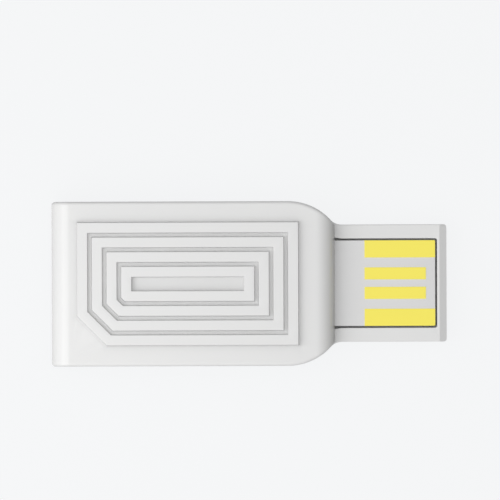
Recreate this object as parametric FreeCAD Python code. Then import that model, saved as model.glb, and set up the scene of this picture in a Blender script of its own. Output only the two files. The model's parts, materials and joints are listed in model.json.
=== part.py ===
"""USB radio adapter: a flat white dongle whose circuit board is also its plug.

A moulded bottom shell carries the board in a tray that runs on into the plug. The board's
own gold pads are the plug's contacts, so the plug has no metal shield. A moulded top cover,
with a relief of nested rings, seats on the bottom shell and holds the board down.

Frame: +X runs from the closed rear end to the plug's tip, +Y across, +Z up. The origin is
in the middle of the underside. Sizes are in millimetres.
"""

import FreeCAD, Part
import math
import os

# Outside of the adapter
overall_length = 40.4
body_width = 16.84
body_height = 4.4
plug_width = 12.0
plug_length = 11.45
plug_thickness = 2.25
shoulder_radius = 6.0
neck_radius = 1.6
cover_end_straight = 0.25
base_end_straight = 1.05
long_edge_radius = 0.35
seam_edge_radius = 0.07
plug_corner_radius = 0.32
plug_nose_run = 0.72
plug_nose_drop = 0.42
plug_keel_run = 0.5
plug_keel_drop = 0.3

# Relief of nested rings on the cover
relief_height = 0.5
relief_rear_margin = 2.65
relief_front_margin = 3.75
relief_side_margin = 2.17
ring_count = 4
ring_width = 1.0
ring_gap = 0.5
ring_cut_corner = 3.0
ring_least_cut = 0.05
ring_draft = 0.1

# Walls of the two shells
side_wall = 1.1
front_wall = 1.2
cover_ceiling = 0.8
inner_end_radius = 0.8
rest_rib_width = 0.9
rest_rib_height = 0.2
rest_rib_end_gap = 1.2
rest_rib_count = 4
lip_thickness = 0.45
lip_height = 0.5
lip_root = 0.3
lip_gap = 0.05

# Circuit board and the window that shows its contacts
board_thickness = 1.2
board_sink = 0.05
board_edge_gap = 0.2
board_tongue_width = 8.75
board_corner_radius = 0.12
window_gap = 0.2
window_front_wall = 0.97
window_flare = 0.13
window_flare_run = 0.7

# Bosses of the bottom shell, and the cover's pins that press into them
boss_radius = 1.1
boss_wall_lap = 0.05
boss_hole_radius = 0.5
boss_hole_rise = 0.1
boss_rear_margin = 5.6
boss_front_margin = 6.1
boss_notch_gap = 0.15
pin_gap = 0.02
pin_tip_gap = 0.1
pin_seat_gap = 0.05
pin_shoulder_step = 0.15

# Ribs of the cover that hold the board down
hold_rib_thickness = 0.8
hold_rib_length = 2.2
hold_rib_side_gap = 1.3
hold_rib_setback = 2.1
hold_rib_gap = 0.05

# Gold contacts, numbered from the power line
contact_thickness = 0.04
contact_setback = 3.06
power_contact_offset = 3.5
power_contact_width = 1.75
data_contact_offset = 1.0
data_contact_width = 1.23
data_contact_length = 6.27

# Printed antenna at the rear end of the board
trace_thickness = 0.04
trace_width = 0.5
trace_gap = 0.6
antenna_fingers = 8
antenna_edge_gap = 0.5
antenna_depth = 3.4
feed_gap = 0.15

# Radio chip and memory chip: moulded blocks with flat leads that end at their sides
radio_chip_side = 5.0
radio_chip_height = 0.85
radio_chip_lead_count = 10
radio_chip_pitch = 0.4
memory_length = 3.0
memory_width = 2.0
memory_height = 0.55
memory_lead_count = 4
memory_pitch = 0.5
flat_lead_side = 0.2
flat_lead_length = 0.35
flat_lead_stand = 0.03
heat_pad_margin = 0.6
pin_one_radius = 0.22
pin_one_depth = 0.05
pin_one_inset = 0.55

# Crystal
crystal_length = 3.2
crystal_width = 2.5
crystal_base_height = 0.45
crystal_lid_height = 0.25
crystal_lid_margin = 0.22
crystal_shift = 0.7
crystal_cap_pitch = 1.2

# Voltage regulator and surge protector: small moulded blocks on bent leads
bent_body_length = 2.9
bent_body_width = 1.6
bent_body_height = 0.95
bent_body_draft = 0.1
bent_body_stand = 0.08
bent_lead_span = 2.8
bent_lead_width = 0.4
bent_lead_thickness = 0.13
bent_lead_foot = 0.35
bent_lead_pitch = 0.95
protector_setback = 3.6
regulator_offset = 2.7

# Capacitors, resistors, coils and the bead: length, width and height of each kind
small_chip = (1.0, 0.5, 0.5)
flat_chip = (1.0, 0.5, 0.35)
large_chip = (1.6, 0.8, 0.8)
chip_cap_share = 0.25
chip_cap_proud = 0.02
part_gap = 0.5
decoupling_count = 4
decoupling_gap = 0.3
supply_setback = 3.4
supply_gap = 1.45
data_resistor_offset = -0.4
data_resistor_pitch = 1.0

# How far a rib, pin or lid runs into what carries it, and how near two places count as one
weld = 0.1
same_place = 1e-3
quarter_turn = 90

# Places that follow from the sizes above
x_rear = -overall_length / 2
x_tip = overall_length / 2
x_step = x_tip - plug_length
seam = plug_thickness
cover_end_radius = body_height - seam - cover_end_straight
base_end_radius = seam - base_end_straight
half_body = body_width / 2
half_plug = plug_width / 2
shoulder_y = half_body - shoulder_radius
shoulder_x = x_step - math.sqrt(shoulder_radius**2 - (half_plug - shoulder_y) ** 2)
cavity_front = x_step - front_wall
inner_side = half_body - side_wall
ceiling = body_height - cover_ceiling
board_top = plug_thickness - board_sink
board_base = board_top - board_thickness
board_rear = x_rear + side_wall + board_edge_gap
board_tip = x_tip - window_front_wall - window_gap
half_tongue = board_tongue_width / 2
shell_floor = board_base - rest_rib_height
boss_hole_floor = shell_floor + boss_hole_rise
boss_y = inner_side + boss_wall_lap - boss_radius
boss_places = [
    (x, side * boss_y)
    for x in (x_rear + boss_rear_margin, x_step - boss_front_margin)
    for side in (-1, 1)
]

# The radio chip's row of parts lies midway between the surge protector and the antenna, and
# the crystal and the memory chip midway between the radio chip and the board's sides
trace_pitch = trace_width + trace_gap
antenna_rear = board_rear + antenna_edge_gap
antenna_front = antenna_rear + antenna_depth
antenna_turn = antenna_front + trace_pitch
half_chip = radio_chip_side / 2
beside_chip = half_chip + part_gap + small_chip[1] / 2
row_front = beside_chip + small_chip[1] / 2 + part_gap + bent_body_length
coil_reach = beside_chip + small_chip[0]
row_rear = coil_reach + small_chip[0] + small_chip[1] / 2
x_protector = x_step - protector_setback
x_chip = (x_protector - bent_lead_span / 2 + antenna_turn + row_rear - row_front) / 2
x_regulator = x_chip + row_front - bent_body_length / 2
x_crystal = x_chip - crystal_shift
beside_y = (half_chip + inner_side - board_edge_gap) / 2
x_coil = x_chip - coil_reach
x_feed = x_coil - (small_chip[0] + trace_width) / 2 - feed_gap
up = FreeCAD.Vector(0, 0, 1)


def point(x, y, z=0.0):
    return FreeCAD.Vector(x, y, z)


def run(start, *steps):
    """Edges from point to point: a step is a point for a straight run, or (through, end) for an arc."""
    edges = []
    here = start
    for step in steps:
        if isinstance(step, tuple):
            through, end = step
            edges.append(Part.Arc(here, through, end).toShape())
        else:
            end = step
            edges.append(Part.LineSegment(here, end).toShape())
        here = end
    return edges, here


def outline(start, *steps):
    """A closed wire through the steps, with a straight run back to the start."""
    edges, end = run(start, *steps)
    return Part.Wire(edges + [Part.LineSegment(end, start).toShape()])


def symmetric(start, *steps):
    """A closed wire from its +Y half, which is mirrored and joined straight across at both ends."""
    edges, end = run(start, *steps)
    twins = [edge.mirror(point(0, 0), point(0, 1)) for edge in edges]
    ends = [Part.LineSegment(p, point(p.x, -p.y)).toShape() for p in (start, end)]
    return Part.Wire(Part.sortEdges(edges + twins + ends)[0])


def prism(wire, low, high):
    """The wire's area, drawn at height 0, filled from low to high."""
    face = Part.Face(wire)
    face.translate(up * low)
    return face.extrude(up * (high - low))


def box(x_range, y_range, z_range):
    corner = point(x_range[0], y_range[0], z_range[0])
    sides = [pair[1] - pair[0] for pair in (x_range, y_range, z_range)]
    return Part.makeBox(*sides, corner)


def on_circle(centre, radius, degrees):
    angle = math.radians(degrees)
    return point(centre[0] + radius * math.cos(angle), centre[1] + radius * math.sin(angle))


def arc_step(centre, radius, first, last):
    """A step round a circle from the angle first to the angle last, in degrees."""
    return on_circle(centre, radius, (first + last) / 2), on_circle(centre, radius, last)


def round_corner(x, y, radius):
    """Steps along the line at y and round the corner it makes with the line at x."""
    centre = (x - radius, y - radius)
    return [point(x - radius, y), arc_step(centre, radius, 90, 0)]


def full_plan():
    """Plan of the whole adapter: body, round shoulders, hollow necks and plug."""
    reach = shoulder_radius + neck_radius
    neck_y = half_plug + neck_radius
    neck_x = shoulder_x + math.sqrt(reach**2 - (neck_y - shoulder_y) ** 2)
    tilt = math.degrees(math.atan2(neck_y - shoulder_y, neck_x - shoulder_x))
    shoulder = (shoulder_x, shoulder_y)
    neck = (neck_x, neck_y)
    return symmetric(
        point(x_rear, half_body),
        point(shoulder_x, half_body),
        arc_step(shoulder, shoulder_radius, 90, tilt),
        arc_step(neck, neck_radius, 180 + tilt, 270),
        *round_corner(x_tip, half_plug, plug_corner_radius),
    )


def body_plan(inset, x_front):
    """Plan of the body alone, moved in from the outside by inset and cut square at x_front."""
    radius = shoulder_radius - inset
    angle = math.degrees(math.acos((x_front - shoulder_x) / radius))
    return symmetric(
        point(x_rear + inset, half_body - inset),
        point(shoulder_x, half_body - inset),
        arc_step((shoulder_x, shoulder_y), radius, 90, angle),
    )


def side_profile(*steps):
    """A side view, drawn in x and z and filled across the body's width."""
    wire = outline(*steps)
    face = Part.Face(wire)
    face.translate(point(0, -half_body))
    return face.extrude(point(0, body_width))


def edges_where(shape, test):
    return [edge for edge in shape.Edges if test(edge.BoundBox)]


def cover_side_view(rear, front, top, radius):
    """Side view from the seam up: both top corners are round."""
    bend = radius * (1 - math.sqrt(0.5))
    return side_profile(
        point(rear, 0, seam),
        point(rear, 0, top - radius),
        (point(rear + bend, 0, top - bend), point(rear + radius, 0, top)),
        point(front - radius, 0, top),
        (point(front - bend, 0, top - bend), point(front, 0, top - radius)),
        point(front, 0, seam),
    )


def ring_loop(inset, height):
    """One outline of the relief: a rectangle whose rear -Y corner is cut at 45 degrees.

    A parallel inset shortens the cut's legs by (2 - root 2) times the inset.
    """
    rear = x_rear + relief_rear_margin + inset
    front = x_step - relief_front_margin - inset
    side = half_body - relief_side_margin - inset
    cut = max(ring_cut_corner - inset * (2 - math.sqrt(2)), ring_least_cut)
    corners = [(front, -side), (front, side), (rear, side), (rear, cut - side), (rear + cut, -side)]
    points = [point(x, y, height) for x, y in corners]
    return Part.makePolygon(points + points[:1])


def drafted(inset, spread):
    """The relief's block inside one outline, wider at its foot by spread on each side."""
    foot = body_height - cover_ceiling / 2
    slope = spread / relief_height
    reach = spread + slope * (body_height - foot)
    wires = [ring_loop(inset - reach, foot), ring_loop(inset, body_height + relief_height)]
    return Part.makeLoft(wires, True, True)


def relief_rings():
    """Nested rings with drafted walls, sunk into the ceiling so that they join it."""
    rings = []
    for number in range(ring_count):
        outer = number * (ring_width + ring_gap)
        ring = drafted(outer, ring_draft)
        hollow_top = body_height + relief_height
        hole = Part.makeLoft(
            [
                ring_loop(outer + ring_width + ring_draft, body_height),
                ring_loop(outer + ring_width, hollow_top),
            ],
            True,
            True,
        )
        rings.append(ring.cut(hole))
    return rings


def make_top_cover():
    cover = cover_side_view(x_rear, x_step, body_height, cover_end_radius)
    cover = cover.common(prism(full_plan(), seam, body_height))

    def is_long_edge(bounds):
        upright = max(bounds.XLength, bounds.YLength) < same_place
        at_end = min(bounds.XMin - x_rear, x_step - bounds.XMax) < same_place
        crosses = bounds.YMin < 0 < bounds.YMax
        return bounds.ZMax > seam + same_place and not crosses and (at_end or not upright)

    cover = cover.makeFillet(long_edge_radius, edges_where(cover, is_long_edge))
    seam_edges = edges_where(cover, lambda bounds: bounds.ZMax < seam + same_place)
    cover = cover.makeChamfer(seam_edge_radius, seam_edges)
    inner_radius = min(inner_end_radius, ceiling - seam - lip_height)
    cavity = cover_side_view(x_rear + side_wall, cavity_front, ceiling, inner_radius)
    cover = cover.cut(cavity.common(prism(body_plan(side_wall, cavity_front), seam, ceiling)))
    rebate_inset = side_wall - lip_thickness - lip_gap
    rebate = body_plan(rebate_inset, cavity_front + lip_gap)
    cover = cover.cut(prism(rebate, seam, seam + lip_height + lip_gap))
    return cover.fuse(relief_rings() + cover_pins() + hold_down_ribs()).removeSplitter()


def cover_pins():
    """Shouldered pins: each shoulder stops over its boss, and the pin goes down into it."""
    radius = boss_hole_radius - pin_gap
    pins = []
    low = board_top + pin_seat_gap
    tip = boss_hole_floor + pin_tip_gap
    for x, y in boss_places:
        shoulder_radius = boss_radius - pin_shoulder_step
        shoulder = Part.makeCylinder(shoulder_radius, ceiling + weld - low, point(x, y, low))
        pin = Part.makeCylinder(radius, low + weld - tip, point(x, y, tip))
        pins.append(shoulder.fuse(pin))
    return pins


def hold_down_ribs():
    low = board_top + hold_rib_gap
    x = x_rear + boss_rear_margin + hold_rib_setback
    side = inner_side - hold_rib_side_gap
    spans = [(side - hold_rib_length, side), (-side, hold_rib_length - side)]
    return [box((x, x + hold_rib_thickness), span, (low, ceiling + weld)) for span in spans]


def make_bottom_shell():
    radius = base_end_radius
    bend = radius * (1 - math.sqrt(0.5))
    shell = side_profile(
        point(x_rear, 0, seam),
        point(x_rear, 0, radius),
        (point(x_rear + bend, 0, bend), point(x_rear + radius, 0, 0)),
        point(x_tip, 0, 0),
        point(x_tip, 0, seam),
    )
    shell = shell.common(prism(full_plan(), 0, seam))

    def is_low_edge(bounds):
        crosses = bounds.YMin < 0 < bounds.YMax
        at_rear = bounds.XMax < x_rear + radius + same_place and not crosses
        on_base = bounds.ZMax < same_place and bounds.XMax > x_rear + radius + same_place
        return bounds.ZMin < seam - same_place and (at_rear or on_base)

    shell = shell.makeFillet(long_edge_radius, edges_where(shell, is_low_edge))
    seam_edges = edges_where(shell, lambda bounds: bounds.ZMin > seam - same_place)
    shell = shell.makeChamfer(seam_edge_radius, seam_edges)
    shell = shell.cut(nose_cutters())
    cavity = prism(body_plan(side_wall, cavity_front), shell_floor, seam)
    shell = shell.cut([cavity, contact_window()])
    low, high = seam - lip_root, seam + lip_height
    lip = prism(body_plan(side_wall - lip_thickness, cavity_front), low, high)
    lip = lip.cut(prism(body_plan(side_wall, cavity_front), low, high))
    shell = shell.fuse([lip] + rest_ribs() + bosses())
    holes = [
        Part.makeCylinder(boss_hole_radius, seam, point(x, y, boss_hole_floor))
        for x, y in boss_places
    ]
    return shell.cut(holes).removeSplitter()


def nose_cutters():
    """Wedges that bevel the top and the underside of the plug's tip."""
    over = 1.0
    slope = plug_nose_drop / plug_nose_run
    nose = side_profile(
        point(x_tip - plug_nose_run, 0, seam),
        point(x_tip + over, 0, seam - plug_nose_drop - slope * over),
        point(x_tip + over, 0, seam + over),
        point(x_tip - plug_nose_run, 0, seam + over),
    )
    slope = plug_keel_drop / plug_keel_run
    keel = side_profile(
        point(x_tip - plug_keel_run, 0, 0),
        point(x_tip + over, 0, plug_keel_drop + slope * over),
        point(x_tip + over, 0, -over),
        point(x_tip - plug_keel_run, 0, -over),
    )
    return [nose, keel]


def contact_window():
    """The tray for the board's tongue, a little wider where it enters the body."""
    half = half_tongue + window_gap
    wide = half + window_flare
    front = x_tip - window_front_wall
    wire = symmetric(
        point(cavity_front - weld, wide),
        point(x_step, wide),
        point(x_step + window_flare_run, half),
        *round_corner(front, half, board_corner_radius + window_gap / 2),
    )
    return prism(wire, board_base, seam + weld)


def rest_ribs():
    """Low ribs across the floor, on which the board lies."""
    first = x_rear + side_wall + rest_rib_width
    last = cavity_front - rest_rib_width
    side = inner_side - rest_rib_end_gap
    heights = (shell_floor - weld, board_base)
    ribs = []
    for number in range(rest_rib_count):
        x = first + (last - first - rest_rib_width) * number / (rest_rib_count - 1)
        ribs.append(box((x, x + rest_rib_width), (-side, side), heights))
    return ribs


def bosses():
    low = shell_floor - weld
    return [Part.makeCylinder(boss_radius, board_top - low, point(x, y, low)) for x, y in boss_places]


def board_tongue(low, high):
    """The narrow end of the board, with round corners at its tip."""
    steps = round_corner(board_tip, half_tongue, board_corner_radius)
    start = point(cavity_front - board_edge_gap - weld, half_tongue)
    return prism(symmetric(start, *steps), low, high)


def make_circuit_board():
    """The board fills the body and narrows to the tongue that carries the contacts."""
    plan = body_plan(side_wall + board_edge_gap, cavity_front - board_edge_gap)
    board = prism(plan, board_base, board_top).fuse(board_tongue(board_base, board_top))
    notch = boss_radius + boss_notch_gap
    for x, y in boss_places:
        edge = math.copysign(half_body, y)
        slot = box((x - notch, x + notch), sorted((y, edge)), (board_base, board_top))
        hole = Part.makeCylinder(notch, board_thickness, point(x, y, board_base))
        board = board.cut([slot, hole])
    return board.removeSplitter()


def make_contacts():
    """Four gold pads: the outer two are wider and reach the board's front edge."""
    start = x_step + contact_setback
    full = board_tip - start
    rows = {
        "contact_power": (power_contact_offset, power_contact_width, full),
        "contact_data_minus": (data_contact_offset, data_contact_width, data_contact_length),
        "contact_data_plus": (-data_contact_offset, data_contact_width, data_contact_length),
        "contact_ground": (-power_contact_offset, power_contact_width, full),
    }
    high = board_top + contact_thickness
    tongue = board_tongue(board_top, high)
    pads = {}
    for name, (y, width, length) in rows.items():
        span = (y - width / 2, y + width / 2)
        pads[name] = box((start, start + length), span, (board_top, high)).common(tongue)
    return pads


def make_antenna():
    """A printed line that runs to the board's rear end and folds to and fro across it."""
    y = trace_pitch * (antenna_fingers - 1) / 2
    points = [(x_feed, 0), (antenna_turn, 0), (antenna_turn, y), (antenna_rear, y)]
    for number in range(1, antenna_fingers):
        y -= trace_pitch
        ends = (antenna_rear, antenna_front) if number % 2 else (antenna_front, antenna_rear)
        points += [(x, y) for x in ends]
    half = trace_width / 2
    spans = []
    for (x0, y0), (x1, y1) in zip(points[:-1], points[1:]):
        x_span = (min(x0, x1) - half, max(x0, x1) + half)
        y_span = (min(y0, y1) - half, max(y0, y1) + half)
        spans.append(box(x_span, y_span, (board_top, board_top + trace_thickness)))
    return spans[0].fuse(spans[1:]).removeSplitter()


def on_board(shape, x, y, turn=0):
    """Sets a part, made round the origin with its foot at 0, on the board at x and y."""
    shape.rotate(point(0, 0), up, turn)
    shape.translate(point(x, y, board_top))
    return shape


def centred_box(length, width, low, high):
    return box((-length / 2, length / 2), (-width / 2, width / 2), (low, high))


def flat_lead_row(count, pitch, reach):
    """Leads along +X at the distance reach from the middle, level with the chip's foot."""
    first = -pitch * (count - 1) / 2
    span = (reach - flat_lead_length, reach + flat_lead_stand)
    half = flat_lead_side / 2
    return [
        box(span, (y - half, y + half), (0, flat_lead_side))
        for y in (first + pitch * number for number in range(count))
    ]


def flat_lead_chip(length, width, height, count, pitch, sides):
    """A leadless chip: a moulded block over a row of leads on each side and a heat pad."""
    chip = centred_box(length, width, flat_lead_stand, height)
    leads = []
    for number in range(sides):
        turn = 360 / sides * number
        reach = length / 2 if turn % 180 == 0 else width / 2
        for lead in flat_lead_row(count, pitch, reach):
            lead.rotate(point(0, 0), up, turn)
            leads.append(lead)
    margin = 2 * heat_pad_margin
    heat_pad = centred_box(length - margin, width - margin, 0, flat_lead_side)
    corner = point(pin_one_inset - length / 2, width / 2 - pin_one_inset, height - pin_one_depth)
    chip = chip.fuse(leads + [heat_pad])
    dimple = Part.makeCylinder(pin_one_radius, pin_one_depth + weld, corner)
    return chip.cut(dimple).removeSplitter()


def bent_lead_chip(offsets):
    """A small moulded block on bent leads: offsets gives the leads' places on each side."""
    split = (bent_body_stand + bent_body_height) / 2
    halves = []
    for far, near in ((bent_body_stand, split), (bent_body_height, split)):
        wires = [
            rectangle(bent_body_length - bent_body_draft, bent_body_width - bent_body_draft, far),
            rectangle(bent_body_length, bent_body_width, near),
        ]
        halves.append(Part.makeLoft(wires, True, True))
    leads = []
    for side, places in zip((1, -1), offsets):
        for x in places:
            lead = bent_lead(split)
            lead.translate(point(x - bent_lead_width / 2, 0))
            if side < 0:
                lead = lead.mirror(point(0, 0), point(0, 1))
            leads.append(lead)
    return halves[0].fuse(halves[1:] + leads).removeSplitter()


def rectangle(length, width, height):
    a, b = length / 2, width / 2
    corners = [(a, b), (-a, b), (-a, -b), (a, -b), (a, b)]
    return Part.makePolygon([point(x, y, height) for x, y in corners])


def bent_lead(exit_height):
    """A strip that leaves the block at exit_height, drops to the board and turns out."""
    reach = bent_lead_span / 2
    heel = reach - bent_lead_foot
    thick = bent_lead_thickness
    half = thick / 2
    sides = [
        (0, exit_height - half),
        (heel - thick, exit_height - half),
        (heel - thick, 0),
        (reach, 0),
        (reach, thick),
        (heel, thick),
        (heel, exit_height + half),
        (0, exit_height + half),
    ]
    face = Part.Face(outline(*[point(0, y, z) for y, z in sides]))
    return face.extrude(point(bent_lead_width, 0))


def crystal():
    """A ceramic base under a metal lid that is set in from its edge."""
    base = centred_box(crystal_length, crystal_width, 0, crystal_base_height)
    lid_length = crystal_length - 2 * crystal_lid_margin
    lid_width = crystal_width - 2 * crystal_lid_margin
    lid_top = crystal_base_height + crystal_lid_height
    lid = centred_box(lid_length, lid_width, crystal_base_height - weld, lid_top)
    uprights = edges_where(lid, lambda bounds: bounds.ZLength > crystal_lid_height)
    return base.fuse(lid.makeFillet(crystal_lid_margin, uprights)).removeSplitter()


def two_ended(size):
    """A ceramic block between two metal end caps that stand a little proud of it."""
    length, width, height = size
    cap = length * chip_cap_share
    block = centred_box(length - cap, width - 2 * chip_cap_proud, chip_cap_proud, height)
    caps = []
    for side in (-1, 1):
        end = centred_box(cap, width, 0, height + chip_cap_proud)
        end.translate(point(side * (length - cap) / 2, 0))
        caps.append(end)
    return block.fuse(caps).removeSplitter()


def make_chips():
    """The radio chip, its memory, crystal, regulator and surge protector."""
    leads = (-bent_lead_pitch, 0, bent_lead_pitch)
    outer = (-bent_lead_pitch, bent_lead_pitch)
    side = radio_chip_side
    radio = flat_lead_chip(
        side, side, radio_chip_height, radio_chip_lead_count, radio_chip_pitch, 4
    )
    memory = flat_lead_chip(
        memory_length, memory_width, memory_height, memory_lead_count, memory_pitch, 2
    )
    regulator = bent_lead_chip((outer, leads))
    protector = bent_lead_chip((leads, leads))
    return {
        "radio_chip": on_board(radio, x_chip, 0),
        "memory_chip": on_board(memory, x_chip, -beside_y),
        "crystal": on_board(crystal(), x_crystal, beside_y),
        "voltage_regulator": on_board(regulator, x_regulator, regulator_offset),
        "surge_protector": on_board(protector, x_protector, 0, quarter_turn),
    }


def make_small_parts():
    """Capacitors, resistors, coils and the bead, each by its kind, place and turn."""
    small_length, small_width, _ = small_chip
    supply_x = x_step - supply_setback
    supply_y = bent_body_length / 2 + supply_gap + large_chip[1] / 2
    resistor_y = [data_resistor_offset + data_resistor_pitch * share for share in (-0.5, 0.5)]
    crystal_cap_x = x_crystal + (crystal_length + small_length) / 2 + part_gap
    crystal_cap_y = [beside_y + crystal_cap_pitch * share for share in (-0.5, 0.5)]
    memory_side = memory_length / 2 + part_gap + small_width / 2
    matching_y = small_width / 2 + part_gap + small_length / 2
    rows = {
        "ferrite_bead": (large_chip, supply_x, supply_y, 0),
        "supply_capacitor_1": (large_chip, supply_x, -supply_y, 0),
        "supply_capacitor_2": (large_chip, x_regulator, -regulator_offset, 0),
        "data_resistor_1": (flat_chip, x_regulator, resistor_y[0], 0),
        "data_resistor_2": (flat_chip, x_regulator, resistor_y[1], 0),
        "crystal_capacitor_1": (small_chip, crystal_cap_x, crystal_cap_y[0], 0),
        "crystal_capacitor_2": (small_chip, crystal_cap_x, crystal_cap_y[1], 0),
        "memory_resistor": (flat_chip, x_chip + memory_side, -beside_y, quarter_turn),
        "memory_capacitor": (small_chip, x_chip - memory_side, -beside_y, quarter_turn),
        "matching_capacitor_1": (small_chip, x_coil + small_length, matching_y, quarter_turn),
        "matching_coil": (small_chip, x_coil, 0, 0),
        "matching_capacitor_2": (small_chip, x_coil - small_length, matching_y, quarter_turn),
    }
    pitch = small_length + decoupling_gap
    for number in range(decoupling_count):
        y = pitch * (number - (decoupling_count - 1) / 2)
        place = (small_chip, x_chip + beside_chip, y, quarter_turn)
        rows[f"decoupling_capacitor_{number + 1}"] = place
    return {name: on_board(two_ended(size), x, y, turn) for name, (size, x, y, turn) in rows.items()}


def main():
    parts = {
        "top_cover": make_top_cover(),
        "bottom_shell": make_bottom_shell(),
        "circuit_board": make_circuit_board(),
        "antenna_trace": make_antenna(),
    }
    parts.update(make_contacts())
    parts.update(make_chips())
    parts.update(make_small_parts())
    os.makedirs("parts", exist_ok=True)
    for name, shape in parts.items():
        shape.exportStep(f"parts/{name}.step")
        print(name, "solids", len(shape.Solids), "valid", shape.isValid(), round(shape.Volume, 4))


main()
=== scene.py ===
# %% [markdown]
# # A flat white USB radio adapter
#
# The real adapter is two white mouldings pressed together round a circuit board. The board's
# tongue lies in a tray that is also the plug, so the four gold contacts are simply the board's
# own pads. This lesson dresses a finished construction model. The thin plates keep their shape
# and get a material. The board and its parts are copied with broken edges. The two mouldings
# are made again as fine surfaces, because their soft edges are what the light shows.

# %% Load the construction model
import json
import math
import bmesh
import bpy
import numpy as np
from mathutils import Matrix, Vector

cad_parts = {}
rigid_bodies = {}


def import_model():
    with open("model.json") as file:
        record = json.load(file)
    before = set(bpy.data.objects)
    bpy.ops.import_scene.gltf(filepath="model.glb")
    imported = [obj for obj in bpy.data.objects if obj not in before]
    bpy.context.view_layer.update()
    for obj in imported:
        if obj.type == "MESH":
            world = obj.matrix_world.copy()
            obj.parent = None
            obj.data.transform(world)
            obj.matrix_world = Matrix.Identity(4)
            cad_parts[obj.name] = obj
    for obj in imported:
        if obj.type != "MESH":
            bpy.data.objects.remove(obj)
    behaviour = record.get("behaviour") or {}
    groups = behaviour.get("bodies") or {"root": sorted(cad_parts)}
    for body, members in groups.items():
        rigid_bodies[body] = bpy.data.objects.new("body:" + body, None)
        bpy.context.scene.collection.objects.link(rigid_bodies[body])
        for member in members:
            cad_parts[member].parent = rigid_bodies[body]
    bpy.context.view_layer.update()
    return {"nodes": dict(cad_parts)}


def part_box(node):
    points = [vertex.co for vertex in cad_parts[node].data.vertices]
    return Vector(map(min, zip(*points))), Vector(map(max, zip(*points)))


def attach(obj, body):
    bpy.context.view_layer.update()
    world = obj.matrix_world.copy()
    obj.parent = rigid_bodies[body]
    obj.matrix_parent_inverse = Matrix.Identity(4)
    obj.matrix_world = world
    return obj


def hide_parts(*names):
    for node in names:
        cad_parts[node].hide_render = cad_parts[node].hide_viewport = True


for leftover in list(bpy.data.objects):
    bpy.data.objects.remove(leftover)
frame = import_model()

nodes = frame["nodes"]
MM = 0.001
print("pieces in the frame:", len(nodes))

# %% [markdown]
# ## Sizes
#
# Whatever can be read from the frame is read from it, so a change of the construction model
# moves the looks too. The rest are the roundings and walls of the mouldings, in millimetres.

# %% Read the main sizes from the frame
def box_mm(name):
    """A node's lowest and highest corner in millimetres."""
    return [np.array(corner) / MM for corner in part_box(name)]


cover_low, cover_high = box_mm("top_cover")
board_low, board_high = box_mm("circuit_board")
x_rear, x_step = cover_low[0], cover_high[0]
x_tip = box_mm("bottom_shell")[1][0]
half_body = cover_high[1]
half_plug = 6.0
seam = 2.25
relief_height = 0.5
face_height = 4.4
for side, size in (("length", x_tip - x_rear), ("width", 2 * half_body), ("height", cover_high[2])):
    print(side, round(size, 2))

# %% Roundings and walls of the mouldings
shoulder_radius = 6.0
neck_radius = 1.6
end_radius = 1.9
long_edge_radius = 0.35
seam_edge = 0.07
side_wall = 1.1
front_wall = 1.2
ceiling_height = 3.6
inner_end_radius = 0.8
lip_thickness = 0.45
lip_height = 0.5
lip_gap = 0.05
rear_margin, front_margin, side_margin = 2.65, 3.75, 2.17
ring_count = 4
ring_width = 1.0
ring_gap = 0.5
ring_draft = 0.1
cut_leg = 3.0
shoulder_y = half_body - shoulder_radius
shoulder_x = x_step - math.sqrt(shoulder_radius**2 - (half_plug - shoulder_y) ** 2)
neck_y = half_plug + neck_radius
neck_x = shoulder_x + math.sqrt((shoulder_radius + neck_radius) ** 2 - (neck_y - shoulder_y) ** 2)
cavity_front = x_step - front_wall
root_2 = math.sqrt(2)

# %% [markdown]
# ## Colours and nodes
#
# Colours are written as the hex values that a paint program shows, and one function turns them
# into the linear light values that Blender mixes. A second small function adds a shader node
# with its settings and links, so each material below reads as a short list of ingredients.

# %% From hex to linear light
def linear(hex_colour):
    """Each sRGB channel c becomes c / 12.92 near black and ((c + 0.055) / 1.055) ** 2.4 above."""
    channels = [int(hex_colour[i : i + 2], 16) / 255 for i in (1, 3, 5)]
    light = [c / 12.92 if c <= 0.04045 else ((c + 0.055) / 1.055) ** 2.4 for c in channels]
    return (*light, 1.0)


# %% Add one node
def add(tree, kind, inputs=None, **settings):
    """Adds a node; an input is a value, or another node's output socket to link."""
    node = tree.nodes.new(kind)
    for name, value in settings.items():
        setattr(node, name, value)
    for name, value in (inputs or {}).items():
        if isinstance(value, bpy.types.NodeSocket):
            tree.links.new(value, node.inputs[name])
        else:
            node.inputs[name].default_value = value
    return node


# %% A material from a surface shader
def new_material(name):
    material = bpy.data.materials.new(name)
    material.use_nodes = True
    material.node_tree.nodes.clear()
    return material, material.node_tree


def finish_material(tree, surface):
    add(tree, "ShaderNodeOutputMaterial", {"Surface": surface})
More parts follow.
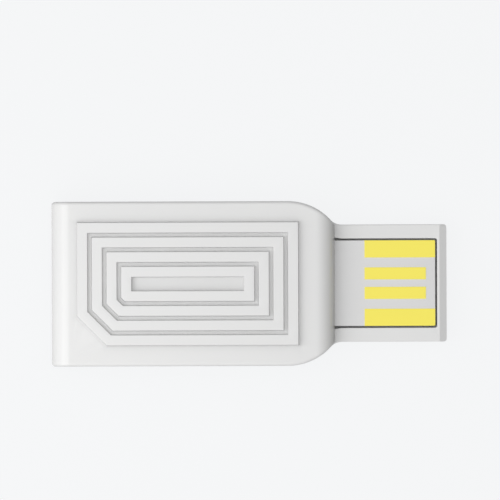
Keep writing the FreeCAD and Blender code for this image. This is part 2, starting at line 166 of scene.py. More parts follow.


# %% [markdown]
# ## White moulded ABS
#
# The shells are injection-moulded ABS, filled with white pigment. The mould was polished and
# then lightly blasted, so the skin is satin: a softbox shows in it as a band with soft edges.
# Two bumps stand for that skin: a fine grain of about 0.12 mm, and a slow waviness of about
# 3 mm, left by the plastic as it shrank. Cloudy pigment shifts the colour by a hair. The walls
# of the relief are different: that part of the mould was spark-eroded and can't be polished,
# so they are rough. Shade is also painted into the colour: the walls are painted a shade greyer,
# and painted shade lies at the foot of the relief on its rear and -Y sides and along its cut
# corner, and faintly over the recess in the middle. It is darkest in the corner where the round
# front end meets the plug. Away from a corner it fades out within a millimetre.
#
# Math nodes work out from the place on the object where the walls and the painted shade are. The table
# below has a row for each node: its name, what it does, and its inputs, which are numbers or
# the names of rows above. RAMP goes from 0 at its first number to 1 at its second.

# %% Where shade is painted on the moulding
def painted_shade_places(tree, place):
    """The relief's walls; and the painted shade, which fades from a corner as exp(-distance / reach)."""
    blend, reach = 0.04 * MM, 0.4 * MM
    # The corner by the plug has the darkest painted shade, 1, and these have a share of it.
    wall_shade, recess_shade = 0.26, 0.13
    foot, top, step = face_height * MM, (face_height + relief_height) * MM, x_step * MM
    x_back, x_front = x_rear + rear_margin, x_step - front_margin
    y_side = half_body - side_margin
    inset = ring_count * (ring_width + ring_gap) - ring_gap
    middle = (x_back + x_front) / 2 * MM
    half_length, half_width = ((x_front - x_back) / 2 - inset) * MM, (y_side - inset) * MM
    x_back, x_front, y_side = (
        edge * MM for edge in (x_back - ring_draft, x_front + ring_draft, y_side + ring_draft)
    )
    rows = [
        ("above foot", "RAMP", "Z", foot, foot + blend),
        ("under top", "RAMP", "Z", top, top - blend),
        ("wall", "MULTIPLY", "above foot", "under top"),
        ("behind", "SUBTRACT", x_back, "X"),
        ("beside", "SUBTRACT", -y_side, "Y"),
        ("both", "ADD", "behind", "beside"),
        ("off the cut", "MULTIPLY_ADD", "both", 1 / root_2, cut_leg * MM / root_2),
        ("off a side", "MAXIMUM", "behind", "beside"),
        ("outside", "MAXIMUM", "off a side", "off the cut"),
        ("distance", "ABSOLUTE", "outside"),
        ("faded", "MULTIPLY", "distance", -1 / reach),
        ("falloff", "EXPONENT", "faded"),
        ("along x", "RAMP", "X", x_front + reach, x_front),
        ("along y", "RAMP", "Y", y_side + reach, y_side),
        ("along", "MULTIPLY", "along x", "along y"),
        ("low", "RAMP", "Z", top, foot),
        ("heap along", "MULTIPLY", "falloff", "along"),
        ("at foot", "MULTIPLY", "heap along", "low"),
        ("off middle", "SUBTRACT", "X", middle),
        ("length off", "ABSOLUTE", "off middle"),
        ("width off", "ABSOLUTE", "Y"),
        ("in length", "RAMP", "length off", half_length + blend, half_length),
        ("in width", "RAMP", "width off", half_width + blend, half_width),
        ("recess", "MULTIPLY", "in length", "in width"),
        ("low recess", "MULTIPLY", "recess", "low"),
        ("film", "MULTIPLY", "low recess", recess_shade),
        ("before step", "SUBTRACT", step, "X"),
        ("to step", "ABSOLUTE", "before step"),
        ("step faded", "MULTIPLY", "to step", -1 / reach),
        ("step heap", "EXPONENT", "step faded"),
        ("over seam", "RAMP", "Z", seam * MM, seam * MM + blend),
        ("at step", "MULTIPLY", "step heap", "over seam"),
        ("wall or foot", "MAXIMUM", "wall", "at foot"),
        ("thin", "MULTIPLY", "wall or foot", wall_shade),
        ("thin or film", "MAXIMUM", "film", "thin"),
        ("painted_shade", "MAXIMUM", "thin or film", "at step"),
    ]
    known = dict(add(tree, "ShaderNodeSeparateXYZ", {"Vector": place}).outputs.items())
    for name, operation, *inputs in rows:
        inputs = [known.get(item, item) for item in inputs]
        if operation == "RAMP":
            ramp = dict(zip(("Value", "From Min", "From Max"), inputs))
            node = add(tree, "ShaderNodeMapRange", ramp)
        else:
            node = add(tree, "ShaderNodeMath", dict(enumerate(inputs)), operation=operation)
        known[name] = node.outputs[0]
    return known["wall"], known["painted_shade"]


# %% White ABS for the shells
def moulded_abs():
    material, tree = new_material("moulded_white_abs")
    place = add(tree, "ShaderNodeTexCoord").outputs["Object"]
    grain_size = 0.12 * MM
    wave_size = 3.0 * MM
    grain = add(tree, "ShaderNodeTexNoise", {"Vector": place, "Scale": 1 / grain_size, "Detail": 2.0})
    wave = add(tree, "ShaderNodeTexNoise", {"Vector": place, "Scale": 1 / wave_size, "Detail": 1.0})
    pigment = {"Factor": wave.outputs["Fac"], "A": linear("#DFDFDF"), "B": linear("#E1E1E0")}
    tint = add(tree, "ShaderNodeMix", pigment, data_type="RGBA")
    wall, painted_shade = painted_shade_places(tree, place)
    # Painted shade: the colour is mixed towards grey on the relief's walls, at its foot on the rear and -Y
    # sides, over the recess, and most at the front end's foot by the plug.
    shaded_colour = {"Factor": painted_shade, "A": tint.outputs["Result"], "B": linear("#A6A6A6")}
    colour = add(tree, "ShaderNodeMix", shaded_colour, data_type="RGBA")
    roughness = add(tree, "ShaderNodeMapRange", {"Value": wall, "To Min": 0.24, "To Max": 0.6})
    waviness = {"Height": wave.outputs["Fac"], "Strength": 0.05, "Distance": 0.05 * MM}
    slow = add(tree, "ShaderNodeBump", waviness)
    graininess = {"Height": grain.outputs["Fac"], "Strength": 0.04, "Distance": 0.01 * MM}
    fine = add(tree, "ShaderNodeBump", graininess | {"Normal": slow.outputs["Normal"]})
    skin = add(
        tree,
        "ShaderNodeBsdfPrincipled",
        {
            "Base Color": colour.outputs["Result"],
            "Roughness": roughness.outputs[0],
            "IOR": 1.53,
            "Normal": fine.outputs["Normal"],
        },
    )
    finish_material(tree, skin.outputs["BSDF"])
    return material


abs_white = moulded_abs()

# %% [markdown]
# ## White solder mask and dark laminate
#
# The board is glass cloth in resin. Its faces wear a white lacquer, the solder mask, which is
# a little greyer than the shells and shows the weave of the cloth under it very faintly. Its
# sawn edge has no lacquer and shows the dark resin core.

# %% Solder mask and laminate
def solder_mask():
    material, tree = new_material("white_solder_mask")
    place = add(tree, "ShaderNodeTexCoord").outputs["Object"]
    thread_pitch = 0.45 * MM
    # The wave texture's bands are 2 pi / 20 of a unit apart when its scale is 1.
    bands = {"Vector": place, "Scale": 2 * math.pi / 20 / thread_pitch}
    weave = [add(tree, "ShaderNodeTexWave", bands, bands_direction=axis) for axis in ("X", "Y")]
    threads = {number: wave.outputs["Fac"] for number, wave in enumerate(weave)}
    cloth = add(tree, "ShaderNodeMath", threads, operation="MULTIPLY")
    raised = {"Height": cloth.outputs["Value"], "Strength": 0.05, "Distance": 0.004 * MM}
    bump = add(tree, "ShaderNodeBump", raised)
    lacquer = add(
        tree,
        "ShaderNodeBsdfPrincipled",
        {"Base Color": linear("#E0E0E0"), "Roughness": 0.32, "IOR": 1.5, "Normal": bump.outputs["Normal"]},
    )
    finish_material(tree, lacquer.outputs["BSDF"])
    return material


def laminate_edge():
    material, tree = new_material("sawn_laminate_edge")
    place = add(tree, "ShaderNodeTexCoord").outputs["Object"]
    ply = add(tree, "ShaderNodeTexNoise", {"Vector": place, "Scale": 1 / (0.15 * MM), "Detail": 3.0})
    plies = {"Factor": ply.outputs["Fac"], "A": linear("#15171A"), "B": linear("#2A2B2C")}
    colour = add(tree, "ShaderNodeMix", plies, data_type="RGBA")
    resin = add(
        tree,
        "ShaderNodeBsdfPrincipled",
        {"Base Color": colour.outputs["Result"], "Roughness": 0.7, "IOR": 1.5},
    )
    finish_material(tree, resin.outputs["BSDF"])
    return material


mask_white = solder_mask()
laminate_dark = laminate_edge()

# %% [markdown]
# ## Gold contacts
#
# Hard gold is plated onto the pads from a bath, so it is pure metal, pale yellow and matt: the
# copper under it was brushed clean, and the plating keeps that roughness.

# %% Plated gold
def plated_gold():
    material, tree = new_material("plated_hard_gold")
    place = add(tree, "ShaderNodeTexCoord").outputs["Object"]
    grain = add(tree, "ShaderNodeTexNoise", {"Vector": place, "Scale": 1 / (0.1 * MM), "Detail": 2.0})
    brushed = {"Height": grain.outputs["Fac"], "Strength": 0.08, "Distance": 0.004 * MM}
    bump = add(tree, "ShaderNodeBump", brushed)
    gold = add(
        tree,
        "ShaderNodeBsdfPrincipled",
        {
            "Base Color": linear("#FAEC6C"),
            "Metallic": 1.0,
            "Roughness": 0.45,
            "Normal": bump.outputs["Normal"],
        },
    )
    finish_material(tree, gold.outputs["BSDF"])
    return material


gold_pale = plated_gold()

# %% [markdown]
# ## Materials inside the housing
#
# Nobody sees these parts while the shells are closed, but whoever opens the model should find
# the right stuff: black epoxy for the chips, bare tin on every lead and end cap, tan ceramic
# for capacitors, dark film for resistors, ferrite, plated steel and printed copper.

# %% One plain maker for the small parts
def plain_finish(name, colour, roughness, metallic=0.0, speckle=0.05):
    """A colour that a fine noise lightens and darkens by the share speckle."""
    material, tree = new_material(name)
    place = add(tree, "ShaderNodeTexCoord").outputs["Object"]
    noise = add(tree, "ShaderNodeTexNoise", {"Vector": place, "Scale": 1 / (0.08 * MM), "Detail": 2.0})
    base = np.array(linear(colour)[:3])
    light, dark = ((*np.clip(base * (1 + sign * speckle), 0, 1), 1.0) for sign in (1, -1))
    speckles = {"Factor": noise.outputs["Fac"], "A": dark, "B": light}
    tint = add(tree, "ShaderNodeMix", speckles, data_type="RGBA")
    surface = add(
        tree,
        "ShaderNodeBsdfPrincipled",
        {"Base Color": tint.outputs["Result"], "Roughness": roughness, "Metallic": metallic},
    )
    finish_material(tree, surface.outputs["BSDF"])
    return material


epoxy = plain_finish("moulded_epoxy", "#1C1C1E", 0.55, speckle=0.25)
tin = plain_finish("tinned_metal", "#C9CBCD", 0.35, metallic=1.0)
tan_ceramic = plain_finish("capacitor_ceramic", "#A98A66", 0.5)
dark_film = plain_finish("resistor_film", "#1D2024", 0.35)
ferrite = plain_finish("sintered_ferrite", "#3A3A3C", 0.75, speckle=0.15)
lid_metal = plain_finish("plated_lid", "#C8BE9C", 0.3, metallic=1.0)
copper = plain_finish("printed_copper", "#D08C60", 0.4, metallic=1.0)

# %% [markdown]
# ## Pieces that keep their shape
#
# The contacts and the antenna are thin plates whose shape is already right, so they stay and
# only get a finish. The board and the parts on it stay in shape too, but a real edge is never
# quite sharp and most of them are made of two stuffs. So each gets a fine copy: its triangles
# are merged, its flat faces joined again, its edges broken by a small bevel, and its faces
# sorted between two materials by their direction or place.

# %% A finish for a node that stays
def dress(name, material):
    for place in nodes[name].material_slots:
        place.material = material


contact_names = [name for name in nodes if name.startswith("contact_")]
for name in contact_names:
    dress(name, gold_pale)
dress("antenna_trace", copper)
print("plates with a finish:", contact_names + ["antenna_trace"])

# %% A fine copy that stands for a node
merge_distance = 0.0005 * MM
same_plane = math.radians(0.5)
sharp_enough = math.radians(40)
thin_edge = 0.012


def face_places(mesh):
    """The middle of each face's box in millimetres, and each face's normal."""
    faces = mesh.polygons
    places, corners = np.empty(len(mesh.vertices) * 3), np.empty(len(mesh.loops), np.int32)
    starts, normals = np.empty(len(faces), np.int32), np.empty(len(faces) * 3)
    mesh.vertices.foreach_get("co", places)
    mesh.loops.foreach_get("vertex_index", corners)
    faces.foreach_get("loop_start", starts)
    faces.foreach_get("normal", normals)
    around = places.reshape(-1, 3)[corners] / MM
    middles = (np.minimum.reduceat(around, starts) + np.maximum.reduceat(around, starts)) / 2
    return middles, normals.reshape(-1, 3)


def fine_copy(name, main, second, is_second, edge=0.02):
    """is_second takes what face_places gives, and is true for the faces of the second stuff."""
    work = bmesh.new()
    work.from_mesh(nodes[name].data)
    bmesh.ops.remove_doubles(work, verts=work.verts, dist=merge_distance)
    bmesh.ops.dissolve_limit(work, angle_limit=same_plane, verts=work.verts, edges=work.edges)
    bmesh.ops.recalc_face_normals(work, faces=work.faces)
    mesh = bpy.data.meshes.new(name + "_fine")
    work.to_mesh(mesh)
    work.free()
    mesh.materials.append(main)
    mesh.materials.append(second)
    chosen = is_second(*face_places(mesh))
    mesh.polygons.foreach_set("material_index", chosen.astype(np.int32))
    mesh.shade_smooth()
    piece = bpy.data.objects.new(name + "_fine", mesh)
    bpy.context.scene.collection.objects.link(piece)
    bevel = piece.modifiers.new("broken edges", "BEVEL")
    bevel.width = edge * MM
    bevel.segments = 2
    bevel.limit_method = "ANGLE"
    bevel.angle_limit = sharp_enough
    bevel.harden_normals = True
    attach(piece, "root")
    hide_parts(name)
    return int(chosen.sum())


# %% Board: lacquered faces and sawn edges
sawn = fine_copy("circuit_board", mask_white, laminate_dark, lambda middle, normal: abs(normal[:, 2]) < 0.5)
print("sawn faces on the board:", sawn)

# %% Chips: epoxy blocks, with tin wherever a lead stands out at the foot
def near_foot(height):
    return lambda middle, normal: middle[:, 2] < board_high[2] + height


flat_lead_top = 0.21
fine_copy("radio_chip", epoxy, tin, near_foot(flat_lead_top), thin_edge)
fine_copy("memory_chip", epoxy, tin, near_foot(flat_lead_top), thin_edge)
base_top = 0.44
fine_copy("crystal", lid_metal, tan_ceramic, near_foot(base_top))

# %% Parts whose ends are metal: legs beyond a moulded body, or caps on the outer quarters
def beyond(name, axis, reach):
    """True for faces further than the reach from the node's middle, along the axis."""
    centre = sum(box_mm(name))[axis] / 2
    return lambda middle, normal: abs(middle[:, axis] - centre) > reach


half_moulding = 0.81
cap_overlap = 0.01
fine_copy("voltage_regulator", epoxy, tin, beyond("voltage_regulator", 1, half_moulding), thin_edge)
fine_copy("surge_protector", epoxy, tin, beyond("surge_protector", 0, half_moulding), thin_edge)
body_stuff = {"resistor": dark_film, "bead": ferrite, "capacitor": tan_ceramic, "coil": tan_ceramic}
two_ended = [name for name in nodes if any(word in name for word in body_stuff)]
for name in two_ended:
    stuff = next(body_stuff[word] for word in body_stuff if word in name)
    low, high = box_mm(name)
    axis = int(np.argmax((high - low)[:2]))
    quarter = (high - low)[axis] / 4 - cap_overlap
    fine_copy(name, stuff, tin, beyond(name, axis, quarter))
print("two-ended parts:", len(two_ended))

# %% [markdown]
# ## The top cover as one surface
#
# Walk once round the cover and look at its section: up the side, over the soft edge, across
# the face, up and down over each ring to the middle, and back underneath along the ceiling
# and down the wall. Every stop on the walk has such a section with the same number of points,
# so the whole cover is one grid: columns go round, rows go along the section. A column is
# described by the stretch of the plan that it is on and how far along it.

# %% Columns round half of the cover
end_columns = 5
side_columns = 9
# Columns stand closer where they go round a small corner of the skin.
crowded_rear = np.linspace(40, 50, 15) / 90
crowded_front = np.linspace(0, 0.12, 19)
stretches = {
    "rear": np.linspace(0, 1, end_columns),
    "rear_corner": np.union1d(np.linspace(0, 90, 25) / 90, crowded_rear),
    "side": np.linspace(0, 1, side_columns),
    "shoulder": np.linspace(0, 1, 21),
    "front_corner": np.linspace(0, 1, 45),
    "front": np.union1d(crowded_front, np.linspace(0, 1, end_columns)),
}
half_count = sum(len(shares) for shares in stretches.values())
print("columns round the cover:", 2 * half_count)


def both_halves(right, left):
    """Joins the +Y half, walked from rear to front, and the -Y half, walked back."""
    return np.concatenate([right, left[::-1] * (1, -1)])


def on_arc(centre, radius, angle):
    """Points at the radius from the centre, at angles in degrees from +X."""
    turn = np.radians(angle)
    return np.stack([centre[0] + radius * np.cos(turn), centre[1] + radius * np.sin(turn)], axis=-1)


def between(start, end, share):
    """start + share * (end - start), for each share."""
    return np.asarray(start) + np.multiply.outer(share, np.subtract(end, start))


# %% The plan, moved in from the outside by any inset
def half_plan(inset, x_back, x_front):
    """Straight at x_back and along the side, an arc round the shoulder, and straight at x_front."""
    y_side = half_body - inset
    radius = shoulder_radius - inset
    stop = math.degrees(math.acos((x_front - shoulder_x) / radius))
    y_front = shoulder_y + radius * math.sin(math.radians(stop))
    arc = on_arc((shoulder_x, shoulder_y), radius, 90 + (stop - 90) * stretches["shoulder"])
    return np.concatenate(
        [
            between((x_back, 0), (x_back, y_side), stretches["rear"]),
            between((x_back, y_side), (x_back, y_side), stretches["rear_corner"]),
            between((x_back, y_side), (shoulder_x, y_side), stretches["side"]),
            arc,
            between((x_front, y_front), (x_front, y_front), stretches["front_corner"]),
            between((x_front, y_front), (x_front, 0), stretches["front"]),
        ]
    )


def plan_loop(inset, x_back, x_front):
    """The half plan and its mirror image, walked once round."""
    half = half_plan(inset, x_back, x_front)
    return both_halves(half, half)


# %% [markdown]
# ## The outer skin, found by rays
#
# The cover is the part of space that is inside two extruded outlines at once: its plan, pushed
# up, and its side view, pushed across. A signed distance says how far a point is outside such
# a shape, negative inside. Where two shapes meet, the larger of their distances a and b is
# the distance outside both, with a sharp edge between them. To round the edge by r, both
# shapes are moved in by r, and r is taken off the distance to the edge of those. If their
# outward directions have the cosine c between them, that edge is at
# root(a * a + b * b - 2 * a * b * c) / root(1 - c * c). Rays from a line inside then walk
# outwards by the distance that is left, until it is nothing: that finds the rounded surface
# everywhere, corners included.

# %% Distances
tiny = 1e-9
most_alike = 0.9


def rounded_meet(a, b, cosine, radius):
    """The distance outside both shapes, with their edge rounded as said above."""
    a, b = a + radius, b + radius
    at_edge = (a > b * cosine) & (b > a * cosine)
    to_edge = np.sqrt((a * a + b * b - 2 * a * b * cosine) / (1 - cosine**2))
    return np.where(at_edge, to_edge, np.maximum(a, b)) - radius


def plan_distance(x, y):
    """Distance outside the side, the shoulder arc, the hollow neck or the plug, and its lean to +X."""
    y = abs(y)
    to_shoulder = np.hypot(x - shoulder_x, y - shoulder_y)
    to_neck = np.hypot(x - neck_x, y - neck_y)
    past_tangent = (x - shoulder_x) * (neck_y - shoulder_y) > (y - shoulder_y) * (neck_x - shoulder_x)
    parts = [x < shoulder_x, (x < neck_x) & ~past_tangent, x < neck_x]
    distances = [y - half_body, to_shoulder - shoulder_radius, neck_radius - to_neck]
    leans = [0 * x, (x - shoulder_x) / to_shoulder, (neck_x - x) / to_neck]
    return np.select(parts, distances, y - half_plug), np.select(parts, leans, 0)


def side_view_distance(x, z):
    """Distance outside a bar from rear to step whose two upper corners are round, and its lean."""
    beyond = np.maximum(x_rear + end_radius - x, x - (x_step - end_radius))
    above = z - (face_height - end_radius)
    corner = np.hypot(np.maximum(beyond, 0), np.maximum(above, 0))
    lean = np.maximum(beyond, 0) / np.maximum(corner, tiny)
    return corner + np.minimum(np.maximum(beyond, above), 0) - end_radius, lean


def cover_distance(points):
    """The two shapes share only the X axis, so the product of their leans is the cosine."""
    x, y, z = points[..., 0], points[..., 1], points[..., 2]
    (across, plan_lean), (over, side_lean) = plan_distance(x, y), side_view_distance(x, z)
    cosine = np.clip(plan_lean * side_lean, 0, most_alike)
    return rounded_meet(across, over, cosine, long_edge_radius)


# %% Rays from the core line
core_inset = 1.0
core_gap = 0.05
core_height = seam + seam_edge
core_back = x_rear + end_radius + core_gap
core_front = x_step - end_radius - core_gap
ray_steps = 80
core_stop = math.degrees(math.acos((core_front - shoulder_x) / (shoulder_radius - core_inset)))
half_headings = np.concatenate(
    [
        np.full(end_columns, 180.0),
        180 - 90 * stretches["rear_corner"],
        np.full(side_columns, 90.0),
        90 + (core_stop - 90) * stretches["shoulder"],
        core_stop * (1 - stretches["front_corner"]),
        np.zeros(len(stretches["front"])),
    ]
)
headings = np.concatenate([half_headings, -half_headings[::-1]])
crowded_long_edge = np.linspace(57, 70, 27)
climbs = np.radians(np.union1d(np.linspace(0, 90, 41), crowded_long_edge))


def outer_skin():
    """Rows of points where rays at each climb leave the cover, from the side wall to the face."""
    core = plan_loop(core_inset, core_back, core_front)
    origin = np.concatenate([core, np.full((len(core), 1), core_height)], axis=1)
    turn = np.radians(headings)
    flat = np.stack([np.cos(turn), np.sin(turn), np.zeros_like(turn)], axis=-1)
    lift = np.array([0.0, 0.0, 1.0])
    rays = np.cos(climbs)[:, None, None] * flat + np.sin(climbs)[:, None, None] * lift
    reach = np.zeros(rays.shape[:2])
    for _ in range(ray_steps):
        reach -= cover_distance(origin + reach[..., None] * rays)
    skin = origin + reach[..., None] * rays
    foot = skin[:1] - seam_edge * flat - (0, 0, seam_edge)
    return np.concatenate([foot, skin])


skin_rows = outer_skin()
print("outer skin reaches", skin_rows.min(axis=(0, 1)).round(2), "to", skin_rows.max(axis=(0, 1)).round(2))

# %% [markdown]
# ## The relief of nested rings
#
# Four flat rings stand on the face, one inside the other. Each is the same outline moved in:
# a rectangle with one corner cut at 45 degrees. Moving in by d shortens the cut's legs by
# (2 - root 2) d, so the cut shrinks ring by ring and is gone at the middle. The walls lean a
# little, so that the moulding leaves its tool, and their edges are just broken.

# %% One outline of the relief
corner_rounding = 0.05
crest_rounding = 0.025
root_rounding = 0.015
side_share = (shoulder_x - x_rear - rear_margin) / (x_step - front_margin - x_rear - rear_margin)


def half_ring(inset, leg):
    """The inset outline, with each corner an arc round a corner of the outline moved in further."""
    rounding = corner_rounding
    x_back = x_rear + rear_margin + inset + rounding
    x_front = x_step - front_margin - inset - rounding
    y_side = half_body - side_margin - inset - rounding
    leg = max(leg - (inset + rounding) * (2 - root_2), 0)
    share = stretches["rear_corner"] * 3
    angle = 180 - 45 * (np.clip(share, 0, 1) + np.clip(share - 2, 0, 1))
    along = between((x_back, y_side - leg), (x_back + leg, y_side), np.clip(share - 1, 0, 1))
    x_turn = x_back + (x_front - x_back) * side_share
    y_edge = y_side + rounding
    return np.concatenate(
        [
            between((x_back - rounding, 0), (x_back - rounding, y_side - leg), stretches["rear"]),
            along + on_arc((0, 0), rounding, angle),
            between((x_back + leg, y_edge), (x_turn, y_edge), stretches["side"]),
            between((x_turn, y_edge), (x_front, y_edge), stretches["shoulder"]),
            on_arc((x_front, y_side), rounding, 90 * (1 - stretches["front_corner"])),
            between((x_front + rounding, y_side), (x_front + rounding, 0), stretches["front"]),
        ]
    )


def at_height(loop, height):
    """Gives every point of a flat loop the same height."""
    return np.concatenate([loop, np.full((len(loop), 1), height)], axis=1)


def ring_loop(inset, height):
    """Both halves of a ring's outline: only the -Y half has the cut corner."""
    return at_height(both_halves(half_ring(inset, 0), half_ring(inset, cut_leg)), height)


# %% The section over one ring
def step_section(foot, crest, rises):
    """Inset and height along a leaning wall from foot to crest, with its root and edge rounded."""
    lean = math.atan2(abs(crest - foot), relief_height)
    bend = math.pi / 2 - lean
    turns = np.linspace(0, bend, 6)
    way = math.copysign(1, crest - foot)
    arc = np.stack([np.sin(turns), 1 - np.cos(turns)], axis=-1)
    root = arc * root_rounding - (root_rounding * math.tan(bend / 2), 0)
    edge = -arc[::-1] * crest_rounding + (crest_rounding * math.tan(bend / 2), 0)
    points = np.concatenate([root * (way, 1) + (foot, 0), edge * (way, 1) + (crest, relief_height)])
    return points if rises else points[::-1]


def relief_section():
    """From the face outside the first ring to the recess inside the last."""
    steps = []
    for number in range(ring_count):
        outer = number * (ring_width + ring_gap)
        inner = outer + ring_width
        steps.append(step_section(outer - ring_draft, outer, rises=True))
        steps.append(step_section(inner + ring_draft, inner, rises=False))
    return np.concatenate(steps)


relief_rows = np.stack([ring_loop(inset, face_height + height) for inset, height in relief_section()])
print("rows over the relief:", len(relief_rows))

# %% [markdown]
# ## The inside of the cover
#
# Under the skin the wall is about a millimetre thick. A rebate round its rim takes the bottom
# shell's lip, and the ceiling meets the walls in a small curve at both ends.

# %% Rows of the inside, from the rim to the ceiling
rebate_inset = side_wall - lip_thickness - lip_gap
rebate_top = seam + lip_height + lip_gap
rebate = plan_loop(rebate_inset, x_rear + rebate_inset, cavity_front + lip_gap)
cavity = plan_loop(side_wall, x_rear + side_wall, cavity_front)


def ceiling_row(turn):
    """The cavity's loop where its end curves have turned by the angle, from upright to level."""
    drop = inner_end_radius * (1 - math.sin(turn))
    shift = inner_end_radius * (1 - math.cos(turn))
    loop = cavity.copy()
    loop[:, 0] = np.clip(loop[:, 0], x_rear + side_wall + shift, cavity_front - shift)
    return at_height(loop, ceiling_height - drop)


inner_rows = np.stack(
    [
        at_height(rebate, seam),
        at_height(rebate, rebate_top),
        at_height(cavity, rebate_top),
        *[ceiling_row(turn) for turn in np.linspace(0, math.pi / 2, 7)],
    ]
)

# %% [markdown]
# ## From rows to a mesh
#
# Neighbouring points of neighbouring rows make a face. The first and the last row each get
# one flat face as a lid, points that fall together are merged, and the normals are turned
# outwards. Edges sharper than a given angle stay sharp and everything else shades smoothly,
# with the large flat faces setting the normals.

# %% Grid, lids and pieces
def grid_faces(rows, columns, first=0):
    """Quads between neighbouring rows of a grid whose columns close into a loop."""
    index = first + np.arange(rows * columns).reshape(rows, columns)
    nearby = np.roll(index, -1, axis=1)
    quads = np.stack([index[:-1], nearby[:-1], nearby[1:], index[1:]], axis=-1)
    return quads.reshape(-1, 4).tolist()


def closed_grid(rows, first=0):
    """Points, and faces with a lid on the first and the last row."""
    count, columns = rows.shape[:2]
    last = first + (count - 1) * columns
    lids = [list(range(start, start + columns)) for start in (first, last)]
    return rows.reshape(-1, 3), grid_faces(count, columns, first) + lids


def make_piece(name, solids, material, sharp=35):
    """Joins closed grids into one object, in metres, with its place in its mesh."""
    points, faces, first = [], [], 0
    for rows in solids:
        some, more = closed_grid(rows, first)
        points.append(some)
        faces += more
        first += len(some)
    mesh = bpy.data.meshes.new(name)
    mesh.from_pydata((np.concatenate(points) * MM).tolist(), [], faces)
    work = bmesh.new()
    work.from_mesh(mesh)
    bmesh.ops.remove_doubles(work, verts=work.verts, dist=merge_distance)
    bmesh.ops.dissolve_degenerate(work, edges=work.edges, dist=merge_distance)
    bmesh.ops.recalc_face_normals(work, faces=work.faces)
    work.to_mesh(mesh)
    work.free()
    mesh.materials.append(material)
    mesh.shade_smooth()
    mesh.set_sharp_from_angle(angle=math.radians(sharp))
    piece = bpy.data.objects.new(name, mesh)
    bpy.context.scene.collection.objects.link(piece)
    finish = piece.modifiers.new("even normals", "WEIGHTED_NORMAL")
    finish.keep_sharp = True
    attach(piece, "root")
    print(name, "faces", len(mesh.polygons))
    return piece


# %% [markdown]
# ## What holds the cover
#
# Four pins under the ceiling go into holes in the bottom shell until their shoulders meet the
# bosses there, and two ribs keep the board down. A pin is a section turned about its middle
# and a rib is a block. Their tops reach a little into the ceiling, so that the solids overlap
# and need no boolean.

# %% Pins and ribs under the ceiling
boss_radius = 1.1
boss_sink = 0.05
boss_y = half_body - side_wall + boss_sink - boss_radius
boss_x = (x_rear + 5.6, x_step - 6.1)
pin_shoulder_radius = boss_radius - 0.15
pin_radius = 0.48
pin_tip, pin_seat = 1.0, 2.25
weld = 0.1


def turned(centre, section, steps=40):
    """A section of radius and height pairs, turned about an upright line through the centre."""
    turn = np.linspace(0, 2 * math.pi, steps, endpoint=False)
    ring = np.stack([np.cos(turn), np.sin(turn)], axis=-1)
    rows = [at_height(ring * radius + centre, height) for radius, height in section]
    return np.stack(rows)


def block(low, high):
    """A box as two four-cornered rows."""
    (x0, y0, z0), (x1, y1, z1) = low, high
    corners = np.array([(x0, y0), (x1, y0), (x1, y1), (x0, y1)], float)
    return np.stack([at_height(corners, z0), at_height(corners, z1)])


pin_section = [
    (pin_radius, pin_tip),
    (pin_radius, pin_seat),
    (pin_shoulder_radius, pin_seat),
    (pin_shoulder_radius, ceiling_height + weld),
]
pins = [turned((x, side * boss_y), pin_section) for x in boss_x for side in (-1, 1)]
rib_x, rib_width = boss_x[0] + 2.1, 0.8
rib_outer = half_body - side_wall - 1.3
rib_inner = rib_outer - 2.2
rib_foot, rib_top = board_high[2] + 0.05, ceiling_height + weld
ribs = [
    block((rib_x, low, rib_foot), (rib_x + rib_width, high, rib_top))
    for low, high in ((rib_inner, rib_outer), (-rib_outer, -rib_inner))
]

# %% Make the cover and let it stand for its node
cover_rows = np.concatenate([inner_rows[::-1], skin_rows, relief_rows])
cover = make_piece("cover_moulding", [cover_rows, *pins, *ribs], abs_white)
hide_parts("top_cover")

# %% [markdown]
# ## The bottom shell as a stack of contours
#
# The lower moulding is a tray. From above it shows only its plug end: two rails beside the
# board's tongue and a bevelled nose. It could be cut from a block with booleans, but a stack
# of contours is cleaner: every height has one closed outline with the same stops, so the rows
# go up the outside, over the rim and the lip, and down into the cavity and the tongue's tray.
# A stretch of the inside faces each stretch of the outside, the window's side the plug's side.

# %% Stops round half of the shell
shell_stops = {
    "rear": np.linspace(0, 1, 4),
    "rear_corner": np.linspace(0, 1, 9),
    "side": np.linspace(0, 1, 8),
    "shoulder": np.linspace(0, 1, 25),
    "neck": np.linspace(0, 1, 15),
    "plug_side": np.linspace(0, 1, 13),
    "tip_corner": np.linspace(0, 1, 9),
    "tip": np.linspace(0, 1, 4),
}
neck_tilt = math.degrees(math.atan2(neck_y - shoulder_y, neck_x - shoulder_x))
nose_run, nose_drop = 0.72, 0.42
keel_run, keel_drop = 0.5, 0.3
tip_rounding = 0.32
base_radius = 1.2


def outer_half(inset, x_back):
    """The whole plan moved in: rear, corner, side, shoulder arc, hollow neck, plug side and tip."""
    corner = long_edge_radius
    y_side, y_plug = half_body - inset, half_plug - inset
    tip = tip_rounding - min(inset, tip_rounding / 2)
    x_end = x_tip - inset
    to_straight = 90 - neck_tilt
    stops = shell_stops
    return np.concatenate(
        [
            between((x_back, 0), (x_back, y_side - corner), stops["rear"]),
            on_arc((x_back + corner, y_side - corner), corner, 180 - 90 * stops["rear_corner"]),
            between((x_back + corner, y_side), (shoulder_x, y_side), stops["side"]),
            on_arc((shoulder_x, shoulder_y), shoulder_radius - inset, 90 - to_straight * stops["shoulder"]),
            on_arc((neck_x, neck_y), neck_radius + inset, 180 + neck_tilt + to_straight * stops["neck"]),
            between((neck_x, y_plug), (x_end - tip, y_plug), stops["plug_side"]),
            on_arc((x_end - tip, y_plug - tip), tip, 90 - 90 * stops["tip_corner"]),
            between((x_end, y_plug - tip), (x_end, 0), stops["tip"]),
        ]
    )


